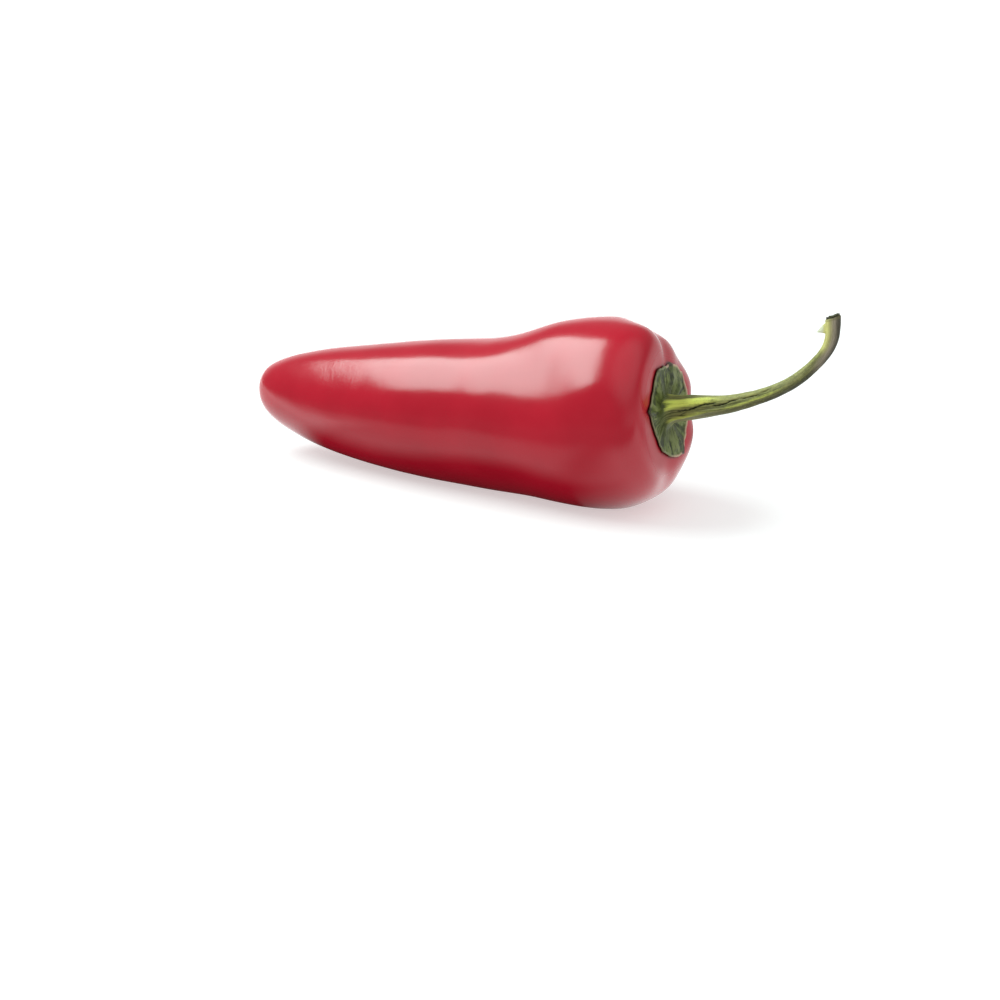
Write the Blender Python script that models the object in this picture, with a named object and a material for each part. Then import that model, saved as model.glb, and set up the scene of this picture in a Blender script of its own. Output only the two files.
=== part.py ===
"""A ripe red jalapeno pepper lying on its side: the pod, and its stem with the calyx.

The pod is drawn upright to its own axis first: X runs from the tip to the stem, Z is up, and a turn angle of
0 is the top, 90 degrees the front (-Y), 180 the underside. It is then laid down on the surface it rests on.
"""

import math

import bmesh
import bpy
from mathutils import Matrix, Vector

MM = 0.001

# How the pod lies: its axis rises towards the stem, and its weight presses a small flat spot.
LYING_TILT_DEG = 8.0
FLAT_SPOT_PRESS = 0.8

# The pod's outline in mm, as the control points of a smooth curve: distance from the tip, and radius.
POD_OUTLINE = (
    (-1.5, 0.0),
    (-1.2, 3.2),
    (2.3, 5.9),
    (7.8, 7.9),
    (14.0, 9.5),
    (21.0, 10.8),
    (29.0, 12.0),
    (37.0, 12.9),
    (44.5, 13.4),
    (51.0, 14.1),
    (57.5, 15.7),
    (64.0, 16.6),
    (69.8, 16.7),
    (74.8, 16.1),
    (77.7, 14.1),
    (78.6, 11.6),
    (77.9, 9.0),
    (76.9, 7.0),
    (76.4, 4.5),
    (76.2, 2.0),
    (76.2, 0.0),
)
TIP_RISE = 4.0
TIP_BEND_LENGTH = 50.0
WAIST_AT = 47.0
WAIST_LENGTH = 9.0
WAIST_ON_TOP = 0.5
WAIST_FILLED_BELOW = 0.7
OVAL = 0.008

# Creases and lower stretches between the shoulder's lobes: turn angle and half-width in degrees, and depth.
CREASES = ((-14.0, 15.0, 2.0), (-48.0, 26.0, 2.6), (174.0, 22.0, 2.2), (208.0, 20.0, 1.5), (262.0, 15.0, 1.2))
CREASE_FADES_OVER = 13.0
CREASE_FADES_INSIDE = 11.0
CREST_AT = 78.3
SCAR_RADIUS = 0.9
SCAR_SINK = 0.35

# The calyx's teeth: turn angle in degrees, and reach from the stem in mm along the pod's skin.
TEETH = (
    (14.0, 8.4),
    (81.0, 8.7),
    (150.0, 7.8),
    (178.0, 8.1),
    (207.0, 8.8),
    (244.0, 8.5),
    (307.0, 8.0),
    (338.0, 8.1),
)
TOOTH_SPIKE = 0.4
TOOTH_SPIKE_WIDTH_DEG = 5.0
EDGE_BULGE = 0.03
CALYX_GAP = 0.3
RIM_THICKNESS = 0.7
RIM_LIFT = 0.3
CALYX_SWELL = 0.5
CALYX_RIB = 0.28
FLARE_STARTS_AT = 5.0

# The stem's line in mm from the middle of the calyx: along the pod's axis, towards the back, and up.
STEM_LINE = (
    (0.0, 0.0, 0.0),
    (6.0, 0.0, 0.5),
    (12.0, 0.1, 1.1),
    (18.0, 0.2, 2.4),
    (24.0, 0.3, 4.6),
    (29.6, 0.2, 8.0),
    (33.8, 0.0, 12.2),
    (32.9, 0.0, 17.1),
)
FLARE_LENGTH = 5.5
FLARE_RADIUS = 1.9
STEM_RADIUS = 1.13
STEM_END_RADIUS = 1.35
STEM_NARROWS_OVER = 10.5
STEM_END_SWELLS_OVER = 7.0
STEM_RIB = 0.09
STEM_TWIST_DEG_PER_MM = 1.6
CUT_SINK = 0.35
TORN_FLAP = 1.3
TORN_FLAP_AT_DEG = 5.0
TORN_FLAP_HALF_WIDTH_DEG = 22.0
TORN_FLAP_FROM_END = 2.9

# How many facets each skin has.
POD_ROWS = 60
POD_COLUMNS = 48
GREEN_COLUMNS = 56
GREEN_ROWS = (("under", 5), ("rim", 3), ("cap", 6), ("flare", 7), ("stalk", 22), ("cut", 3))


def smooth_step(value):
    """0 below 0, 1 above 1, and a smooth rise in between."""
    value = min(1.0, max(0.0, value))
    return value * value * (3.0 - 2.0 * value)


def turn_between(angle, other):
    """The signed turn from other to angle, within half a turn either way."""
    return (angle - other + math.pi) % math.tau - math.pi


def bell(offset, width):
    """1 at no offset, falling away smoothly over the width."""
    return math.exp(-((offset / width) ** 2))


class SmoothLine:
    """A cubic B-spline through its end points, measured along its length."""

    def __init__(self, points, closes_on_axis=False, steps_per_span=24):
        points = [Vector(point) for point in points]
        first, last = (self.beyond(*pair, closes_on_axis) for pair in (points[:2], points[:-3:-1]))
        points = [first, *points, last]
        self.samples = [
            self.on_span(points[span : span + 4], step / steps_per_span)
            for span in range(len(points) - 3)
            for step in range(steps_per_span)
        ]
        self.samples.append(self.on_span(points[-4:], 1.0))
        self.lengths = [0.0]
        for before, after in zip(self.samples, self.samples[1:]):
            self.lengths.append(self.lengths[-1] + (after - before).length)
        self.length = self.lengths[-1]

    @staticmethod
    def beyond(end, inner, closes_on_axis):
        """The control point past an end: mirrored in the axis, or carried straight on."""
        if closes_on_axis:
            return Vector((inner[0], -inner[1]))
        return 2 * end - inner

    @staticmethod
    def on_span(four, share):
        weights = (
            (1 - share) ** 3,
            3 * share**3 - 6 * share**2 + 4,
            -3 * share**3 + 3 * share**2 + 3 * share + 1,
            share**3,
        )
        return sum((weight * point for weight, point in zip(weights, four)), 0 * four[0]) / 6

    def at(self, distance):
        """The point at this distance along the line, and the line's direction there."""
        distance = min(self.length, max(0.0, distance))
        low, high = 0, len(self.lengths) - 1
        while high - low > 1:
            middle = (low + high) // 2
            if self.lengths[middle] <= distance:
                low = middle
            else:
                high = middle
        before, after = self.samples[low], self.samples[high]
        share = (distance - self.lengths[low]) / (self.lengths[high] - self.lengths[low])
        return before.lerp(after, share), (after - before).normalized()


pod_outline = SmoothLine(reversed(POD_OUTLINE), closes_on_axis=True)
stem_line = SmoothLine(STEM_LINE)


def crease(angle):
    """How much lower the shoulder is at this turn angle."""
    return sum(
        depth * bell(turn_between(angle, math.radians(at)), math.radians(width))
        for at, width, depth in CREASES
    )


def pod_skin(distance, angle, outward=0.0):
    """A point of the pod's skin, by its distance along the skin from the stem's root and its turn angle.
    Outward lifts it off the skin."""
    (along, radius), (slope_along, slope_radius) = pod_outline.at(distance)
    round_share = smooth_step(radius / 6.0)
    near_crest = smooth_step(1.0 - (CREST_AT - along) / CREASE_FADES_OVER)
    upper_share = 0.5 + 0.5 * math.cos(angle)
    waist = WAIST_ON_TOP * upper_share - WAIST_FILLED_BELOW * (1.0 - upper_share) ** 2
    waist *= bell(along - WAIST_AT, WAIST_LENGTH)
    dent = near_crest * crease(angle) * smooth_step(2.0 * radius / CREASE_FADES_INSIDE - 1.0)
    radius -= outward * slope_along + waist * round_share
    radius *= 1.0 + OVAL * math.cos(2 * angle)
    along += outward * slope_radius
    facing_stem = max(0.0, slope_radius)
    radius -= dent * (1.0 - 0.5 * facing_stem)
    along -= dent * 0.6 * facing_stem
    rise = TIP_RISE * max(0.0, 1.0 - along / TIP_BEND_LENGTH) ** 2
    return Vector((along, -radius * math.sin(angle), rise + radius * math.cos(angle)))


def between_teeth(angle):
    """The teeth on either side of this turn angle: share of the way, the turn between them, both reaches."""
    turns = [(math.radians(at), reach) for at, reach in TEETH]
    turns.append((turns[0][0] + math.tau, turns[0][1]))
    if angle < turns[0][0]:
        angle += math.tau
    for (start, reach), (end, next_reach) in zip(turns, turns[1:]):
        if angle <= end:
            break
    return (angle - start) / (end - start), end - start, reach, next_reach


def calyx_reach(angle):
    """How far the calyx spreads at this turn angle: its edge runs nearly straight from tooth to tooth."""
    share, span, reach, next_reach = between_teeth(angle % math.tau)
    straight = reach * next_reach * math.sin(span)
    straight /= reach * math.sin(share * span) + next_reach * math.sin((1.0 - share) * span)
    spike = sum(
        bell(turn_between(angle, math.radians(at)), math.radians(TOOTH_SPIKE_WIDTH_DEG))
        for at, _ in TEETH
    )
    return straight * (1.0 + EDGE_BULGE * math.sin(math.pi * share)) + TOOTH_SPIKE * spike


def rib(angle):
    """1 along a rib, which runs from the stem to a tooth, and -1 midway between two."""
    return math.cos(math.tau * between_teeth(angle % math.tau)[0])


def calyx_top(distance, angle):
    """A point of the calyx's upper face at this distance from the stem's root."""
    share = distance / calyx_reach(angle)
    swell = CALYX_SWELL * smooth_step((1.0 - share) * 2.0)
    ribbing = CALYX_RIB * rib(angle) * smooth_step((1.0 - share) * 3.0)
    return pod_skin(distance, angle, CALYX_GAP + RIM_THICKNESS + RIM_LIFT * share**4 + swell + ribbing)


def stem_radius(distance, angle):
    """The stem's radius at this distance along it: it narrows from the flare and swells at its cut end."""
    narrowing = bell(distance - FLARE_LENGTH, STEM_NARROWS_OVER) if distance > FLARE_LENGTH else 1.0
    swelling = smooth_step(1.0 - (stem_line.length - distance) / STEM_END_SWELLS_OVER)
    radius = STEM_RADIUS + (FLARE_RADIUS - STEM_RADIUS) * narrowing
    radius += (STEM_END_RADIUS - STEM_RADIUS) * swelling
    twist = math.radians(STEM_TWIST_DEG_PER_MM) * (distance - FLARE_LENGTH)
    radius *= 1.0 + STEM_RIB * rib(angle - twist) * (1.0 + 1.2 * narrowing)
    from_end = stem_line.length - distance
    flap = bell(turn_between(angle, math.radians(TORN_FLAP_AT_DEG)), math.radians(TORN_FLAP_HALF_WIDTH_DEG))
    tear = smooth_step(from_end / TORN_FLAP_FROM_END) * smooth_step(2.0 - from_end / (0.6 * TORN_FLAP_FROM_END))
    return radius + TORN_FLAP * flap * tear


def stem_point(distance, angle, share_of_radius=1.0, sink=0.0):
    """A point round the stem's line, which starts at the middle of the calyx."""
    centre, along = stem_line.at(distance)
    side = (Vector((0.0, -1.0, 0.0)) + along * along.y).normalized()
    up = along.cross(side).normalized() * -1.0
    radius = stem_radius(distance, angle) * share_of_radius
    root = pod_skin(0.0, 0.0)
    return (
        root
        + centre
        - along * sink
        + side * (radius * math.sin(angle))
        + up * (radius * math.cos(angle))
    )


def green_point(stage, share, angle):
    """A point of the calyx and stem: under the calyx, round its rim, back over its top, up the flare,
    along the stalk and into the cut end. Share runs from 0 to 1 in each stage."""
    reach = calyx_reach(angle)
    if stage == "under":
        return pod_skin(reach * share, angle, CALYX_GAP + RIM_LIFT * share**4)
    if stage == "rim":
        roll = math.pi * (share - 0.5)
        half = RIM_THICKNESS / 2
        return pod_skin(
            reach + half * math.cos(roll), angle, CALYX_GAP + RIM_LIFT + half + half * math.sin(roll)
        )
    if stage == "cap":
        return calyx_top(reach + (FLARE_STARTS_AT - reach) * share, angle)
    if stage == "flare":
        start, end = calyx_top(FLARE_STARTS_AT, angle), stem_point(FLARE_LENGTH, angle)
        inward = end - start
        corner = start + Vector((0.0, inward.y, inward.z)) * 0.92
        return start * (1 - share) ** 2 + corner * (2 * share * (1 - share)) + end * share**2
    if stage == "stalk":
        return stem_point(FLARE_LENGTH + (stem_line.length - FLARE_LENGTH) * share, angle)
    return stem_point(stem_line.length, angle, 1.0 - share, CUT_SINK * smooth_step(share * 3.0))


def spun_skin(rows, columns, place):
    """A closed skin spun about X with a pole at each end. place(row, angle) puts each vertex where it goes."""
    bm = bmesh.new()
    chain = [bm.verts.new((row, 0.0, 0.0 if row in (0, rows) else 1.0)) for row in range(rows + 1)]
    edges = [bm.edges.new(pair) for pair in zip(chain, chain[1:])]
    bmesh.ops.spin(
        bm, geom=chain + edges, cent=(0, 0, 0), axis=(1, 0, 0), angle=math.tau, steps=columns, use_merge=True
    )
    bmesh.ops.remove_doubles(bm, verts=bm.verts, dist=1e-4)
    for vert in bm.verts:
        row = round(vert.co.x)
        angle = math.atan2(-vert.co.y, vert.co.z) % math.tau
        vert.co = place(row, angle) * MM
    if bm.calc_volume(signed=True) < 0.0:
        bmesh.ops.reverse_faces(bm, faces=bm.faces)
    return bm


def pod_mesh():
    """The pod from the stem's root to the tip, with the flower's small sunken scar at the tip."""

    def place(row, angle):
        distance = pod_outline.length * row / POD_ROWS
        point = pod_skin(distance, angle)
        from_tip = pod_outline.length - distance
        return point + Vector((SCAR_SINK * bell(from_tip, SCAR_RADIUS), 0.0, 0.0))

    return spun_skin(POD_ROWS, POD_COLUMNS, place)


def green_mesh():
    """The calyx and the stem, which grow as one."""
    stations = [("under", 0.0)]
    for stage, rows in GREEN_ROWS:
        stations += [(stage, (step + 1) / rows) for step in range(rows)]

    def place(row, angle):
        stage, share = stations[row]
        return green_point(stage, share, angle)

    return spun_skin(len(stations) - 1, GREEN_COLUMNS, place)


def flatten_underside(bm):
    """Presses the skin flat where the pod rests, and returns that height."""
    floor = min(vert.co.z for vert in bm.verts) + FLAT_SPOT_PRESS * MM
    for vert in bm.verts:
        vert.co.z = max(vert.co.z, floor)
    return floor


def skin_material(name, colour, roughness):
    material = bpy.data.materials.new(name)
    material.use_nodes = True
    shader = material.node_tree.nodes["Principled BSDF"]
    shader.inputs["Base Color"].default_value = (*colour, 1.0)
    shader.inputs["Roughness"].default_value = roughness
    shader.inputs["Metallic"].default_value = 0.0
    return material


def add_object(name, bm, material):
    mesh = bpy.data.meshes.new(name)
    bm.to_mesh(mesh)
    bm.free()
    mesh.materials.append(material)
    mesh.shade_smooth()
    mesh.set_sharp_from_angle(angle=math.radians(50))
    bpy.context.scene.collection.objects.link(bpy.data.objects.new(name, mesh))


def centre_on_floor(meshes, floor):
    """Moves the meshes so that the middle of their common base is the origin."""
    points = [vert.co for bm in meshes for vert in bm.verts]
    middle = [(min(p[axis] for p in points) + max(p[axis] for p in points)) / 2 for axis in (0, 1)]
    shift = Matrix.Translation((-middle[0], -middle[1], -floor))
    for bm in meshes:
        bm.transform(shift)


def main():
    for obj in list(bpy.data.objects):
        bpy.data.objects.remove(obj)
    pod, green = pod_mesh(), green_mesh()
    lying = Matrix.Rotation(math.radians(-LYING_TILT_DEG), 4, "Y")
    for bm in (pod, green):
        bm.transform(lying)
    floor = flatten_underside(pod)
    centre_on_floor((pod, green), floor)
    add_object("pod", pod, skin_material("red_skin", (0.50, 0.016, 0.022), 0.25))
    add_object("stem_and_calyx", green, skin_material("green_stem", (0.17, 0.22, 0.05), 0.55))


main()
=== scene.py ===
import math

import bmesh
import bpy
from mathutils import Matrix, Vector, noise


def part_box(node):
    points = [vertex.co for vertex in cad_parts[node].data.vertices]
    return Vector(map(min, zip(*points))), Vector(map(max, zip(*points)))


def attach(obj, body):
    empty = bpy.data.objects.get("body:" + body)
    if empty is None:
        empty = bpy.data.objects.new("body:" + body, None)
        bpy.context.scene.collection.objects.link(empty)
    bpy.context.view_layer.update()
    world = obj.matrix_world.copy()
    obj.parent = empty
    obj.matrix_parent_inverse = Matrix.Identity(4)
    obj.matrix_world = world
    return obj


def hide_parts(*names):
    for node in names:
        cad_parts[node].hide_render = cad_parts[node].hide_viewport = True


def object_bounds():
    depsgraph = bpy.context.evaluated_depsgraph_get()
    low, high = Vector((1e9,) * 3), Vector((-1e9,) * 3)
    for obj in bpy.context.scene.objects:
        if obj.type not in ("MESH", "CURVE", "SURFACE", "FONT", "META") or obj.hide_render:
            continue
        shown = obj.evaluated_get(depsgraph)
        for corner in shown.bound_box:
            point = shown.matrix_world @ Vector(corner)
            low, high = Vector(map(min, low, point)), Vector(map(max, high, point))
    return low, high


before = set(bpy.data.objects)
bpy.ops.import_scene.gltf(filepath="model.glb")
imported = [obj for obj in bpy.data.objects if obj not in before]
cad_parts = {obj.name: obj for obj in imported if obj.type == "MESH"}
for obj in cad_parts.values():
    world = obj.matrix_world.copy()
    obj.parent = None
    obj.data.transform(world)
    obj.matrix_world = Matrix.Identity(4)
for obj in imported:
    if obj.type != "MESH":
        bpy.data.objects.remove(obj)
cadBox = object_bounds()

mm = 0.001
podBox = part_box("pod")


# Shape helpers

def smoothStep(value):
    value = min(1.0, max(0.0, value))
    return value * value * (3.0 - 2.0 * value)


def softStep(value):
    # smoother still: its curvature starts and ends at zero, so that no line shows in the gloss
    value = min(1.0, max(0.0, value))
    return value ** 3 * (value * (6.0 * value - 15.0) + 10.0)


def ramp(value, low, high):
    # 0 below low, 1 above high, smooth between; low may be the larger one
    return smoothStep((value - low) / (high - low))


def turnBetween(angle, other):
    return (angle - other + math.pi) % math.tau - math.pi


def bell(offset, width):
    return math.exp(-((offset / width) ** 2))


def turnBell(angle, atDeg, widthDeg):
    return bell(turnBetween(angle, math.radians(atDeg)), math.radians(widthDeg))


def bumpiness(point, octaves):
    # fractal noise, about -1 to 1, the same on every run
    return noise.fractal(point, 0.9, 2.1, octaves, noise_basis="PERLIN_ORIGINAL")


def ringNoise(along, angle, perTurn, perMm, seed=0.0, octaves=3):
    # noise that closes on itself round the axis; perTurn says how many bumps go round
    size = perTurn / math.tau
    return bumpiness(Vector((along * perMm + seed, size * math.sin(angle), size * math.cos(angle))), octaves)


def between(value, knots):
    # straight lines through (value, result) pairs
    if value <= knots[0][0]:
        return knots[0][1]
    for (x0, y0), (x1, y1) in zip(knots, knots[1:]):
        if value <= x1:
            return y0 + (y1 - y0) * (value - x0) / (x1 - x0)
    return knots[-1][1]


class SmoothLine:
    # a cubic B-spline through its end points, measured along its length

    def __init__(self, points, closesOnAxis=False, stepsPerSpan=24):
        points = [Vector(point) for point in points]
        ends = []
        for end, inner in (points[:2], points[:-3:-1]):
            ends.append(Vector((inner[0], -inner[1])) if closesOnAxis else 2 * end - inner)
        points = [ends[0], *points, ends[1]]
        self.samples = []
        for span in range(len(points) - 3):
            for step in range(stepsPerSpan):
                self.samples.append(self.onSpan(points[span:span + 4], step / stepsPerSpan))
        self.samples.append(self.onSpan(points[-4:], 1.0))
        self.lengths = [0.0]
        for before, after in zip(self.samples, self.samples[1:]):
            self.lengths.append(self.lengths[-1] + (after - before).length)
        self.length = self.lengths[-1]

    def onSpan(self, four, share):
        weights = ((1 - share) ** 3, 3 * share ** 3 - 6 * share ** 2 + 4,
                   -3 * share ** 3 + 3 * share ** 2 + 3 * share + 1, share ** 3)
        total = 0 * four[0]
        for weight, point in zip(weights, four):
            total += weight * point
        return total / 6

    def at(self, distance):
        # the point there, and the line's direction
        distance = min(self.length, max(0.0, distance))
        low, high = 0, len(self.lengths) - 1
        while high - low > 1:
            middle = (low + high) // 2
            if self.lengths[middle] <= distance:
                low = middle
            else:
                high = middle
        before, after = self.samples[low], self.samples[high]
        share = (distance - self.lengths[low]) / (self.lengths[high] - self.lengths[low])
        return before.lerp(after, share), (after - before).normalized()


def spunSkin(rows, columns, place):
    # a closed skin spun about X with a pole at each end; place(row, angle) gives each vertex's point in mm
    bm = bmesh.new()
    chain = [bm.verts.new((row, 0.0, 0.0 if row in (0, rows) else 1.0)) for row in range(rows + 1)]
    edges = [bm.edges.new(pair) for pair in zip(chain, chain[1:])]
    bmesh.ops.spin(bm, geom=chain + edges, cent=(0, 0, 0), axis=(1, 0, 0), angle=math.tau,
                   steps=columns, use_merge=True)
    bmesh.ops.remove_doubles(bm, verts=bm.verts, dist=1e-4)
    rowOf = bm.verts.layers.int.new("row")
    turnOf = bm.verts.layers.float.new("turn")
    for vert in bm.verts:
        row = round(vert.co.x)
        angle = math.atan2(-vert.co.y, vert.co.z) % math.tau
        vert[rowOf] = row
        vert[turnOf] = angle
        vert.co = place(row, angle)
    if bm.calc_volume(signed=True) < 0.0:
        bmesh.ops.reverse_faces(bm, faces=bm.faces)
    bm.normal_update()
    return bm, rowOf, turnOf


def addPiece(name, bm, material):
    mesh = bpy.data.meshes.new(name)
    bm.to_mesh(mesh)
    bm.free()
    mesh.materials.append(material)
    mesh.shade_smooth()
    piece = bpy.data.objects.new(name, mesh)
    bpy.context.scene.collection.objects.link(piece)
    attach(piece, "root")
    return piece


# Shader helpers

class Socket:
    # wraps a node's output, so that shader maths can be written as Python expressions

    def __init__(self, nodes, output):
        self.nodes = nodes
        self.output = output

    def maths(self, operation, *values):
        return self.nodes.make("ShaderNodeMath", dict(operation=operation), dict(enumerate(values)))

    def __add__(self, other):
        return self.maths("ADD", self, other)

    def __radd__(self, other):
        return self.maths("ADD", other, self)

    def __sub__(self, other):
        return self.maths("SUBTRACT", self, other)

    def __rsub__(self, other):
        return self.maths("SUBTRACT", other, self)

    def __mul__(self, other):
        return self.maths("MULTIPLY", self, other)

    def __rmul__(self, other):
        return self.maths("MULTIPLY", other, self)

    def __truediv__(self, other):
        return self.maths("DIVIDE", self, other)

    def most(self, other):
        return self.maths("MAXIMUM", self, other)

    def size(self):
        return self.maths("ABSOLUTE", self)

    def step(self, low, high, first=0.0, last=1.0):
        # smooth change from first to last while the value goes from low to high
        return self.nodes.make("ShaderNodeMapRange", dict(interpolation_type="SMOOTHSTEP"),
                               {"Value": self, "From Min": low, "From Max": high,
                                "To Min": first, "To Max": last}, "Result")

    def other(self, name):
        # another output of the same node
        return Socket(self.nodes, self.output.node.outputs[name])


class Nodes:
    # the nodes of one material

    def __init__(self, tree):
        self.tree = tree

    def make(self, kind, settings=None, inputs=None, output=0):
        node = self.tree.nodes.new(kind)
        for key, value in (settings or {}).items():
            setattr(node, key, value)
        for key, value in (inputs or {}).items():
            socket = node.inputs[key]
            if isinstance(value, Socket):
                self.tree.links.new(value.output, socket)
            elif isinstance(value, tuple) and len(value) == 3 and socket.type == "RGBA":
                socket.default_value = (*value, 1.0)
            else:
                socket.default_value = value
        return Socket(self, node.outputs[output])

    def attribute(self, name, output="Fac"):
        return self.make("ShaderNodeAttribute", dict(attribute_name=name), None, output)

    def parts(self, vector):
        # the vector's X, Y and Z
        x = self.make("ShaderNodeSeparateXYZ", None, {0: vector})
        return x, x.other("Y"), x.other("Z")

    def combine(self, x, y, z):
        return self.make("ShaderNodeCombineXYZ", None, {"X": x, "Y": y, "Z": z})

    def noise(self, place, scale, detail=3.0, roughness=0.55):
        return self.make("ShaderNodeTexNoise", None,
                         {"Vector": place, "Scale": scale, "Detail": detail, "Roughness": roughness})

    def along(self, parts, alongScale, roundScale, detail=3.0, roughness=0.6):
        # noise drawn out along the way the piece grew; parts are the three of its "grown" attribute
        along, side, top = parts
        place = self.combine(along * alongScale, side * roundScale, top * roundScale)
        return self.noise(place, 1.0, detail, roughness)

    def mix(self, share, first, second):
        # colours only: sockets 6 and 7 are the node's colours, and output 2 its mixed colour
        return self.make("ShaderNodeMix", dict(data_type="RGBA"), {0: share, 6: first, 7: second}, 2)

    def bump(self, height, distance):
        return self.make("ShaderNodeBump", None, {"Height": height, "Strength": 1.0, "Distance": distance},
                         "Normal")


def newMaterial(name):
    material = bpy.data.materials.new(name)
    material.use_nodes = True
    nodes = Nodes(material.node_tree)
    shader = material.node_tree.nodes["Principled BSDF"]
    return material, nodes, shader


def feed(nodes, shader, **sockets):
    for name, value in sockets.items():
        socket = shader.inputs[name.replace("_", " ")]
        if isinstance(value, Socket):
            nodes.tree.links.new(value.output, socket)
        else:
            socket.default_value = value


# The pod

# the outline in mm: distance from the tip, and radius
pod = dict(
    outline=((-2.2, 0.0), (-1.9, 3.6), (1.9, 6.1), (7.8, 8.15), (14.0, 9.65), (21.0, 10.85), (29.0, 12.0),
             (37.0, 12.9), (44.5, 13.45), (51.0, 13.95), (57.5, 15.7), (64.0, 16.65), (69.8, 16.7),
             (74.6, 16.1), (77.2, 14.0), (78.1, 11.6), (77.75, 9.0), (77.15, 7.0), (76.6, 4.5), (76.3, 2.0),
             (76.2, 0.0)),
    lyingTiltDeg=8.0, flatSpotPress=0.8,
    tipRise=3.65, tipBendLength=50.0, tipAside=1.0, tipAsideLength=45.0,
    waistAt=47.0, waistLength=9.0, waistOnTop=0.5, waistFilledBelow=0.7, waistFadesWithin=6.0,
    oval=0.008,
    # creases at the stem end: turn and half-width in degrees, depth
    creases=((-20.0, 17.0, 2.9), (-53.0, 20.0, 1.9), (174.0, 24.0, 1.5), (208.0, 20.0, 0.9),
             (262.0, 15.0, 1.2)),
    creaseFadesOver=12.0, creaseFadesFrom=4.5, creaseFadesTo=13.0, crestAt=78.6,
    # where the skin faces the stem, a crease goes less inwards and more along the pod
    creaseLessInwards=0.5, creaseAlong=0.6,
    # low swellings: turn and half-width in degrees, middle and half-length along the pod, height
    swellings=((77.0, 55.0, 48.5, 6.5, 0.85), (8.0, 22.0, 57.0, 9.0, 0.45), (52.0, 32.0, 60.4, 9.0, -1.15),
               (100.0, 40.0, 58.0, 10.0, 0.5), (95.0, 40.0, 30.0, 14.0, 0.45), (45.0, 40.0, 12.0, 9.0, -0.32),
               (140.0, 40.0, 45.0, 12.0, -0.55), (75.0, 40.0, 21.0, 8.0, -0.15),
               (70.0, 50.0, 4.0, 6.0, -0.13),
               (128.0, 30.0, 60.0, 12.0, 0.25), (62.0, 12.0, 69.5, 3.5, 0.14),
               (205.0, 34.0, 40.0, 22.0, 0.2), (290.0, 40.0, 52.0, 20.0, 0.3)),
    unevenness=0.07, unevenPerTurn=5.0, unevenPerMm=0.07, evenNearTip=8.0, evenNearStem=14.0,
    scarRadius=0.8, scarSink=0.55, scarRim=0.16, scarRimAt=1.9, scarRimWidth=0.55,
    # the dark line round the calyx, painted shade where the calyx's edge sits over the skin
    calyxShadeWidth=0.7, calyxShadeWithin=15.0,
    rows=230, columns=190,
)
podOutline = SmoothLine(reversed(pod["outline"]), closesOnAxis=True)


def crease(angle):
    return sum(depth * turnBell(angle, at, width) for at, width, depth in pod["creases"])


def swelling(along, angle):
    return sum(height * turnBell(angle, turn, width) * bell(along - middle, length)
               for turn, width, middle, length, height in pod["swellings"])


def podSkin(distance, angle, outward=0.0):
    # a point of the skin, by its distance along the skin from the stem's root and its turn: 0 is the top,
    # 90 degrees the front, 180 the underside
    (along, radius), (slopeAlong, slopeRadius) = podOutline.at(distance)
    roundShare = smoothStep(radius / pod["waistFadesWithin"])
    nearCrest = softStep(1.0 - (pod["crestAt"] - along) / pod["creaseFadesOver"])
    upperShare = 0.5 + 0.5 * math.cos(angle)
    waist = pod["waistOnTop"] * upperShare - pod["waistFilledBelow"] * (1.0 - upperShare) ** 2
    waist *= bell(along - pod["waistAt"], pod["waistLength"])
    inside = (radius - pod["creaseFadesFrom"]) / (pod["creaseFadesTo"] - pod["creaseFadesFrom"])
    dent = nearCrest * crease(angle) * softStep(inside)
    radius -= outward * slopeAlong + waist * roundShare
    radius += swelling(along, angle) * smoothStep(-slopeAlong)
    radius *= 1.0 + pod["oval"] * math.cos(2 * angle)
    along += outward * slopeRadius
    facingStem = softStep(slopeRadius)
    radius -= dent * (1.0 - pod["creaseLessInwards"] * facingStem)
    along -= dent * pod["creaseAlong"] * facingStem
    rise = pod["tipRise"] * max(0.0, 1.0 - along / pod["tipBendLength"]) ** 2
    aside = pod["tipAside"] * max(0.0, 1.0 - along / pod["tipAsideLength"]) ** 2
    return Vector((along, aside - radius * math.sin(angle), rise + radius * math.cos(angle)))


def layDown(bm, floor=None):
    # tilts a skin as it lies; with no floor given, finds the floor's height and presses the resting spot flat
    bm.transform(Matrix.Rotation(math.radians(-pod["lyingTiltDeg"]), 4, "Y"))
    if floor is None:
        floor = min(vert.co.z for vert in bm.verts) + pod["flatSpotPress"]
        for vert in bm.verts:
            vert.co.z = max(vert.co.z, floor)
    return floor


def podRelief(distance, fromTip, angle):
    low = ringNoise(distance, angle, pod["unevenPerTurn"], pod["unevenPerMm"], seed=3.0) * pod["unevenness"]
    return low * smoothStep(fromTip / pod["evenNearTip"]) * smoothStep(distance / pod["evenNearStem"])


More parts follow.
